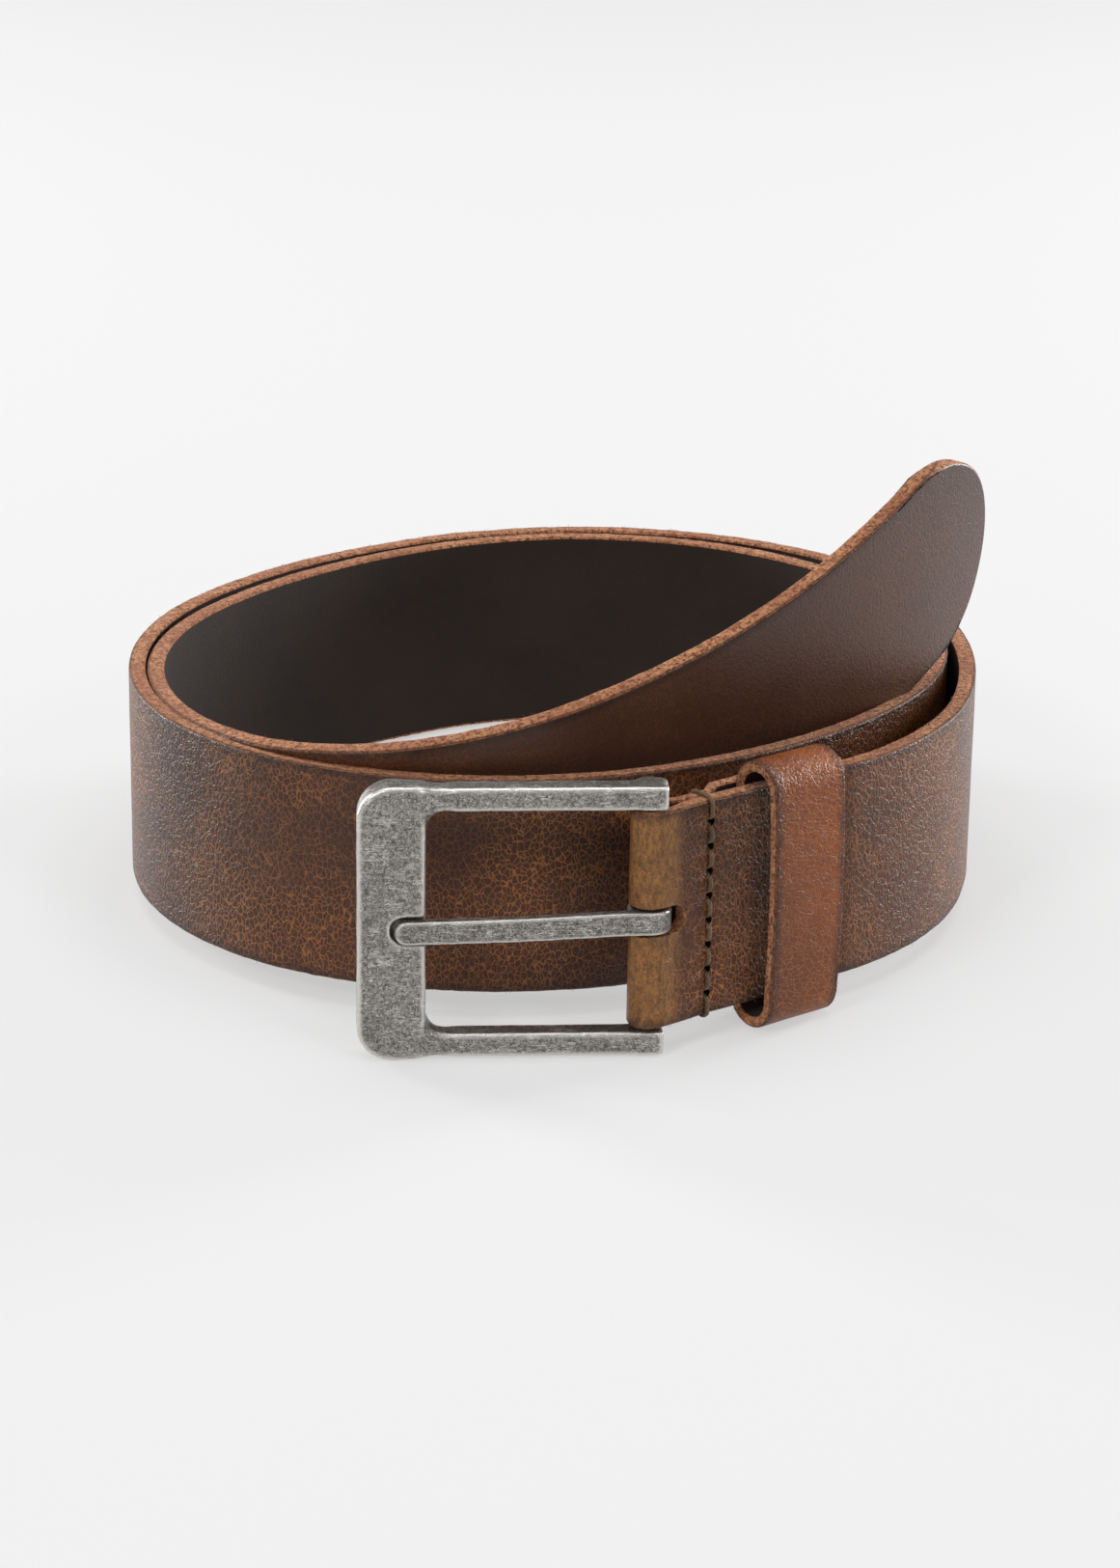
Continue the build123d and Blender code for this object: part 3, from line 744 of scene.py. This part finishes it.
FOLD_TONE = rgb(150, 104, 52)
FOLD_START, FOLD_STOP = -9.0, 3.5              # from the bar, along the strap
CALM_LENGTH = 165.0                            # of the tip, where the veins fade out
strap_grain = grain_leather(
    "strap_grain", rgb(84, 42, 22), rgb(176, 110, 54), rgb(42, 18, 9), HALF_WIDTH * MM, 1.0,
    (FOLD_TONE, (front_zero + FOLD_START) * MM, (front_zero + FOLD_STOP) * MM),
    (strap_route.length - CALM_LENGTH) * MM,
)
strap_rim = rim_leather(
    "strap_rim", rgb(134, 76, 46), rgb(200, 140, 98), rgb(66, 32, 18), HALF_WIDTH * MM,
)
flesh = flesh_leather("strap_flesh")
# the needle holes' walls get a near black colour: painted shade inside the holes
hole_shade = hole_shade_leather("strap_hole_shade")

end_round_start = strap_route.length - TIP_ROUND
rows = straight_rows(0.0, end_round_start - TIP_LEAD, STRAP_ROW_STEP, HALF_WIDTH)
rows += rounded_end_rows(end_round_start - TIP_LEAD, TIP_LEAD, TIP_ROUND, HALF_WIDTH, TIP_ROWS)
strap_mesh = flat_leather("strap_leather", rows, STRAP_THICK, STRAP_EDGE_ROUND)
strap = new_object("strap_leather", strap_mesh, strap_grain, strap_rim, flesh, hole_shade)

slot_stretch = (front_distance(SLOT_END) - flap_distance(SLOT_END)) / 2 - SLOT_HEIGHT / 2
slot_centre = (front_distance(SLOT_END) + flap_distance(SLOT_END)) / 2
slot_outline = round_outline(slot_centre, BAR_Z - HALF_WIDTH, SLOT_HEIGHT / 2, 28, slot_stretch)
outlines = [(slot_outline, strap_rim)]
for row in (FRONT_ROW, REAR_ROW):
    for height in stitch_heights():
        for distance in (front_distance(row), flap_distance(row)):
            outlines.append((round_outline(distance, height, STITCH_HOLE_RADIUS, 12), hole_shade))
for k in range(HOLE_COUNT):
    centre = strap_route.length - FIRST_HOLE_FROM_TIP - k * HOLE_PITCH
    outlines.append((round_outline(centre, 0.0, HOLE_RADIUS, 32), strap_rim))
cut(strap, outlines)

flat = vertex_array(strap.data)
edge_depth = HALF_WIDTH - np.abs(flat[:, 1])
on_edge = np.clip(1 - edge_depth / 0.9, 0, 1)
flat[:, 1] += np.sign(flat[:, 1]) * on_edge * 0.12 * wobble(flat, 1.3, 1)
flat[:, 1] += np.sign(flat[:, 1]) * on_edge * 0.12 * wobble(flat, 14.0, 2)
flat[:, 2] += on_edge * 0.07 * wobble(flat, 0.9, 3)
grain_side = flat[:, 2] > 0
for row in (FRONT_ROW, REAR_ROW):
    away = np.abs(flat[:, 0] - front_distance(row))
    flat[grain_side, 2] -= GROOVE_DEPTH * np.exp(-((away[grain_side] / GROOVE_REACH) ** 2))
flat[grain_side, 2] += 0.05 * wobble(flat[grain_side], 9.0, 4)
place(strap, strap_route.bend(flat, STRAP_THICK), "strap")
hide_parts("strap")


def edge_fibres(name, route, end, half_width, thick, count, body, seed):
    """Short loose fibres along both raw edges, up to the distance end."""
    rng = np.random.default_rng(seed)
    verts, faces = [], []
    s = rng.uniform(0, end, count)
    side = rng.choice((-1.0, 1.0), count)
    depth = rng.uniform(-FIBRE_SPREAD, FIBRE_SPREAD, count) * thick
    roots = np.stack([s, side * (half_width - FIBRE_ROOT), depth], axis=1)
    reach = rng.uniform(FIBRE_SHORT, FIBRE_LONG, count)
    drift = rng.normal(0, FIBRE_DRIFT, (count, 2)) * reach[:, None]
    ends = roots + np.stack([drift[:, 0], side * reach, drift[:, 1]], axis=1)
    for a, b in zip(route.bend(roots, thick), route.bend(ends, thick)):
        run = b - a
        first = np.cross(run, (0.3, 0.5, 0.8))
        first *= FIBRE_RADIUS / np.linalg.norm(first)
        second = np.cross(run, first)
        second *= FIBRE_RADIUS / np.linalg.norm(second)
        base = len(verts)
        verts += [a + first, a + second, a - first - second, b]
        faces += [[base + k, base + (k + 1) % 3, base + 3] for k in range(3)]
    placed = to_room(np.array(verts))
    placed[:, 2] = np.maximum(placed[:, 2], 0.0)
    mesh = bpy.data.meshes.new(name)
    mesh.from_pydata(placed.tolist(), [], faces)
    obj = new_object(name, mesh, fibre)
    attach(obj, body)


fibre = fibre_material("loose_fibre")
edge_fibres(
    "strap_edge_fibres", strap_route, strap_route.length - TIP_ROUND, HALF_WIDTH, STRAP_THICK,
    STRAP_FIBRES, "strap", 11,
)

# ---------------------------------------------------------------------------
# Keeper: a band from one end of the butt joint round to the other
# ---------------------------------------------------------------------------
KEEPER_BACK = HALF_THICK + KEEPER_BACK_GAP + KEEPER_THICK
KEEPER_MIDDLE = (KEEPER_BOTTOM + KEEPER_TOP) / 2
KEEPER_FRONT = -HALF_THICK - KEEPER_FRONT_GAP
BUTT_HALF_GAP = 0.05


def keeper_outline():
    """Outer line of the band in its plane: x towards the wearer, y up, counted round from the butt."""
    chord = KEEPER_TOP - KEEPER_BOTTOM
    rise = KEEPER_FRONT_REACH + KEEPER_FRONT
    radius = (chord**2 / 4 + rise**2) / (2 * rise)
    centre_x = -KEEPER_FRONT_REACH + radius
    sharp = [(KEEPER_BACK, KEEPER_MIDDLE - BUTT_HALF_GAP), (KEEPER_BACK, KEEPER_BOTTOM)]
    sharp.append((KEEPER_FRONT, KEEPER_BOTTOM))
    half_angle = math.asin(chord / 2 / radius)
    for k in range(1, 40):
        angle = -half_angle + 2 * half_angle * k / 40
        sharp.append((centre_x - radius * math.cos(angle), KEEPER_MIDDLE + radius * math.sin(angle)))
    sharp += [(KEEPER_FRONT, KEEPER_TOP), (KEEPER_BACK, KEEPER_TOP)]
    sharp.append((KEEPER_BACK, KEEPER_MIDDLE + BUTT_HALF_GAP))
    return round_corners(sharp, KEEPER_CORNER)


def round_corners(points, radius):
    """Replaces sharp corners by arcs and samples the straights between them."""
    line = [Vector(points[0])]
    last_corner, last_reach = Vector(points[0]), 0.0
    for before, corner, after in zip(points, points[1:], points[2:]):
        a, b, c = Vector(before), Vector(corner), Vector(after)
        into, out = (b - a).normalized(), (c - b).normalized()
        turn = into.angle(out)
        if turn < math.radians(20):
            if (b - last_corner).length > last_reach:
                line.append(b)
            continue
        reach = radius * math.tan(turn / 2)
        last_corner, last_reach = b, reach
        p, q = b - into * reach, b + out * reach
        line = [v for v in line if (v - b).length > reach or v is line[0]]
        inward = (out - into).normalized()
        centre = b + inward * (radius / math.cos(turn / 2))
        for k in range(9):
            share = k / 8
            spoke = ((p - centre) * (1 - share) + (q - centre) * share).normalized() * radius
            line.append(centre + spoke)
    line.append(Vector(points[-1]))
    return resample(line, FINE_STEP)


def resample(line, step):
    pts = np.array([tuple(v) for v in line])
    lengths = np.concatenate([[0], np.cumsum(np.linalg.norm(np.diff(pts, axis=0), axis=1))])
    keep = np.concatenate([[True], np.diff(lengths) > 1e-6])
    pts, lengths = pts[keep], lengths[keep]
    at = np.linspace(0, lengths[-1], round(lengths[-1] / step) + 1)
    return [(float(np.interp(t, lengths, pts[:, 0])), float(np.interp(t, lengths, pts[:, 1]))) for t in at]


def keeper_stations():
    line = keeper_outline()
    centre = START + ALONG * (KEEPER_START + KEEPER_WIDTH / 2)
    stations = []
    for k, (x, y) in enumerate(line):
        a, b = line[max(k - 1, 0)], line[min(k + 1, len(line) - 1)]
        run = Vector((b[0] - a[0], b[1] - a[1])).normalized()
        along = -OUTWARD * run.x + UP * run.y
        across = -ALONG
        normal = along.cross(across)
        point = centre - OUTWARD * x + UP * y
        stations.append((point - normal * (KEEPER_THICK / 2), along, across, KEEPER_THICK))
    return stations


keeper_route = Route(keeper_stations())
keeper_grain = grain_leather(
    "keeper_grain", rgb(158, 82, 28), rgb(200, 124, 54), rgb(92, 40, 12), KEEPER_HALF_WIDTH * MM, 0.5,
)
keeper_rim = rim_leather(
    "keeper_rim", rgb(142, 82, 50), rgb(202, 142, 100), rgb(74, 38, 22), KEEPER_HALF_WIDTH * MM,
)
keeper_rows = straight_rows(0.0, keeper_route.length, FINE_STEP, KEEPER_HALF_WIDTH)
keeper_mesh = flat_leather("keeper_leather", keeper_rows, KEEPER_THICK, KEEPER_EDGE_ROUND)
keeper = new_object("keeper_leather", keeper_mesh, keeper_grain, keeper_rim, flesh)
keeper_flat = vertex_array(keeper.data)
near_edge = np.clip(1 - (KEEPER_HALF_WIDTH - np.abs(keeper_flat[:, 1])) / 0.8, 0, 1)
keeper_flat[:, 1] += np.sign(keeper_flat[:, 1]) * near_edge * 0.10 * wobble(keeper_flat, 1.2, 5)
keeper_flat[:, 2] += 0.06 * wobble(keeper_flat, 7.0, 6)
place(keeper, keeper_route.bend(keeper_flat, KEEPER_THICK), "keeper")
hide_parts("keeper_loop")
edge_fibres(
    "keeper_edge_fibres", keeper_route, keeper_route.length, KEEPER_HALF_WIDTH, KEEPER_THICK,
    KEEPER_FIBRES, "keeper", 12,
)


# ---------------------------------------------------------------------------
# Threads: three twisted yarns through the holes and over both edges
# ---------------------------------------------------------------------------
def thread_path(row, face, side):
    """Points (x, y, z) in the end's plane; the line dips into each hole."""
    deep = face - side * HOLE_DIP
    over = THREAD_RADIUS * 0.9
    high = face + side * over
    meeting = (FLAP_TOUCH_GAP + SKIVED_THICK) / 2
    holes = [h + HALF_WIDTH for h in stitch_heights()]
    points = [(row, meeting, -over), (row, face - side * 0.6, -over), (row, high, 0.35)]
    marks = [0.0] + holes + [STRAP_WIDTH]
    for low, top in zip(marks, marks[1:]):
        for share in (0.3, 0.5, 0.7):
            points.append((row, high - side * 0.3 * abs(share - 0.5), low + (top - low) * share))
        if top != STRAP_WIDTH:
            points += [(row, face - side * 0.8, top - 0.6), (row, deep, top - 0.3)]
            points += [(row, deep, top + 0.3), (row, face - side * 0.8, top + 0.6)]
    points += [(row, high, STRAP_WIDTH - 0.35), (row, face - side * 0.6, STRAP_WIDTH + over)]
    points.append((row, meeting, STRAP_WIDTH + over))
    return points


def smooth_line(points, steps=6):
    """Catmull-Rom through the points."""
    pts = [Vector(p) for p in points]
    pts = [pts[0] * 2 - pts[1]] + pts + [pts[-1] * 2 - pts[-2]]
    line = []
    for a, b, c, d in zip(pts, pts[1:], pts[2:], pts[3:]):
        for k in range(steps):
            t = k / steps
            line.append(0.5 * (2 * b + (c - a) * t + (2 * a - 5 * b + 4 * c - d) * t * t
                               + (3 * b - a - 3 * c + d) * t**3))
    line.append(pts[-2])
    return line


def twisted_thread(name, node, points):
    """Plies laid around each other along the smooth line through the points."""
    line = smooth_line(points)
    verts, faces = [], []
    ply_radius, orbit = THREAD_RADIUS * 0.52, THREAD_RADIUS * 0.5
    for ply in range(THREAD_PLIES):
        travelled = 0.0
        base = len(verts)
        frame_up = Vector((1.0, 0.0, 0.0))
        for k, point in enumerate(line):
            run = (line[min(k + 1, len(line) - 1)] - line[max(k - 1, 0)]).normalized()
            if k:
                travelled += (point - line[k - 1]).length
            side_dir = (frame_up - run * frame_up.dot(run)).normalized()
            third = run.cross(side_dir)
            turn = 2 * math.pi * (ply / THREAD_PLIES + travelled / THREAD_LAY)
            centre = point + (side_dir * math.cos(turn) + third * math.sin(turn)) * orbit
            for c in range(PLY_CORNERS):
                a = 2 * math.pi * c / PLY_CORNERS
                p = centre + (side_dir * math.cos(a) + third * math.sin(a)) * ply_radius
                verts.append(end_plane(p.x, p.y) + UP * p.z)
        for k in range(len(line) - 1):
            ring = base + k * PLY_CORNERS
            for c in range(PLY_CORNERS):
                d = (c + 1) % PLY_CORNERS
                faces.append([ring + c, ring + d, ring + PLY_CORNERS + d, ring + PLY_CORNERS + c])
        last = base + (len(line) - 1) * PLY_CORNERS
        faces.append([base + c for c in range(PLY_CORNERS)][::-1])
        faces.append([last + c for c in range(PLY_CORNERS)])
    mesh = bpy.data.meshes.new(name)
    mesh.from_pydata(to_room(np.array([tuple(v) for v in verts])).tolist(), [], faces)
    mesh.shade_smooth()
    obj = new_object(name, mesh, thread)
    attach(obj, "strap")
    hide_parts(node)


thread = waxed_thread("thread")
FLAP_FACE = HALF_THICK + FLAP_TOUCH_GAP + SKIVED_THICK
for row, place_name in ((FRONT_ROW, "front"), (REAR_ROW, "rear")):
    grain_path = thread_path(row, -HALF_THICK + GROOVE_DEPTH, -1)
    flap_path = thread_path(row, FLAP_FACE, 1)
    twisted_thread(f"{place_name}_grain_stitches", f"{place_name}_needle_thread", grain_path)
    twisted_thread(f"{place_name}_flap_stitches", f"{place_name}_bobbin_thread", flap_path)


# ---------------------------------------------------------------------------
# Buckle frame and prong: the cast shapes, softened and slightly uneven
# ---------------------------------------------------------------------------
def corner_weights(points):
    """1 where the arms run into the end bar, fading to 0 around it."""
    from_bar = points / MM - np.array((bar_low + bar_high) / 2 / MM)
    away = np.abs(from_bar @ np.array(heading_vector(BUCKLE_HEADING)) - ARM_LENGTH)
    beyond = (np.abs(from_bar[:, 2]) - CORNER_START) / CORNER_FADE
    return np.clip(1.7 - away / CORNER_REACH, 0, 1) * np.clip(beyond, 0, 1)


def relax_modifier(obj, passes, group=""):
    relax = obj.modifiers.new("relax", "SMOOTH")
    relax.factor = 0.5
    relax.iterations = passes
    relax.vertex_group = group


def softened(name, node, body, material, voxel, passes, uneven, corner_passes=0):
    """The cast piece remeshed, its edges relaxed, its faces slightly uneven."""
    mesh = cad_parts[node].data.copy()
    mesh.materials.clear()
    obj = new_object(name, mesh, material)
    remesh = obj.modifiers.new("remesh", "REMESH")
    remesh.mode = "VOXEL"
    remesh.voxel_size = voxel * MM
    relax_modifier(obj, passes)
    baked = bake_modifiers(obj)
    if corner_passes:
        group = obj.vertex_groups.new(name="corners")
        weights = corner_weights(vertex_array(baked))
        for index in np.flatnonzero(weights > 0):
            group.add([int(index)], float(weights[index]), "REPLACE")
        relax_modifier(obj, corner_passes, group.name)
        baked = bake_modifiers(obj)
        obj.vertex_groups.clear()
    points = vertex_array(baked)
    normals = np.zeros(len(baked.vertices) * 3)
    baked.vertices.foreach_get("normal", normals)
    normals = normals.reshape(-1, 3)
    amount = uneven * wobble(points / MM, 4.5, 7) + uneven * 0.5 * wobble(points / MM, 1.6, 8)
    points += normals * (amount * MM)[:, None]
    baked.vertices.foreach_set("co", points.ravel())
    baked.shade_smooth()
    baked.update()
    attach(obj, body)
    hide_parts(node)


pewter = cast_metal("pewter", rgb(90, 87, 83), rgb(166, 162, 156), rgb(246, 242, 236))
pewter_brushed = cast_metal("pewter_brushed", rgb(76, 73, 70), rgb(150, 146, 140), rgb(240, 236, 230), True)
softened(
    "buckle_casting", "buckle_frame", "buckle", pewter,
    FRAME_VOXEL, FRAME_RELAX, FRAME_UNEVEN, CORNER_RELAX,
)
softened(
    "prong_tongue", "prong", "prong", pewter_brushed,
    PRONG_VOXEL, PRONG_RELAX, PRONG_UNEVEN,
)

steel = plain_steel("steel")
for node in ("buckle_bar", "keeper_staple"):
    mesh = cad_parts[node].data
    mesh.materials.clear()
    mesh.materials.append(steel)

# ---------------------------------------------------------------------------
# Floor, lights and camera
# ---------------------------------------------------------------------------
FLOOR_HALF = 6.0
FLOOR_GREY, FLOOR_GLOW, WORLD_LIGHT = 0.29, 0.51, 0.28
floor_mesh = bpy.data.meshes.new("floor")
floor_mesh.from_pydata(
    [(x, y, 0.0) for x, y in ((-1, -1), (1, -1), (1, 1), (-1, 1))], [], [[0, 1, 2, 3]]
)
floor_mesh.transform(Matrix.Scale(FLOOR_HALF, 4))
paper = Nodes("floor").finish(
    (FLOOR_GREY, FLOOR_GREY, FLOOR_GREY, 1.0), 0.9,
    Specular_IOR_Level=0.0, Emission_Color=(1.0, 1.0, 1.0, 1.0), Emission_Strength=FLOOR_GLOW,
)
new_object("floor", floor_mesh, paper)

world = bpy.data.worlds.new("studio")
world.use_nodes = True
world.node_tree.nodes["Background"].inputs["Color"].default_value = (1.0, 1.0, 1.0, 1.0)
world.node_tree.nodes["Background"].inputs["Strength"].default_value = WORLD_LIGHT
bpy.context.scene.world = world


def softbox(name, position, width, height, power):
    """A rectangular light aimed at the belt, sizes in metres and power in watts."""
    light = bpy.data.lights.new(name, "AREA")
    light.shape = "RECTANGLE"
    light.size, light.size_y, light.energy = width, height, power
    obj = bpy.data.objects.new(name, light)
    obj.location = position
    obj.rotation_euler = (Vector(CENTRE) - Vector(position)).to_track_quat("-Z", "Y").to_euler()
    bpy.context.scene.collection.objects.link(obj)


CENTRE = (0.0, 0.0, 0.03)
softbox("overhead", (0.0, 0.3, 2.2), 2.2, 1.8, 30.0)
softbox("left", (-1.0, 0.65, 0.25), 0.3, 0.5, 13.0)
softbox("right", (1.0, 0.65, 0.25), 0.3, 0.5, 13.0)
softbox("front_left", (-0.75, -1.1, 1.0), 0.35, 0.35, 6.5)
softbox("front_right", (0.9, -1.0, 0.9), 0.35, 0.35, 4.0)

CAMERA_PLACE = Vector((0.0, -766.0, 286.5))
CAMERA_PITCH, CAMERA_ROLL, CAMERA_LENS = 19.76, 0.86, 96.26
camera_data = bpy.data.cameras.new("camera")
camera_data.sensor_width = 36.0
camera_data.sensor_fit = "AUTO"
camera_data.lens = CAMERA_LENS
camera_data.clip_start = 0.01
camera = bpy.data.objects.new("camera", camera_data)
camera.location = TO_ROOM @ CAMERA_PLACE
pitch = Matrix.Rotation(math.radians(90 - CAMERA_PITCH - LEAN), 4, "X")
roll = Matrix.Rotation(math.radians(CAMERA_ROLL), 4, "Z")
camera.rotation_euler = (pitch @ roll).to_euler()
bpy.context.scene.collection.objects.link(camera)
bpy.context.scene.camera = camera
bpy.context.scene.view_settings.view_transform = "Standard"

bpy.context.view_layer.update()
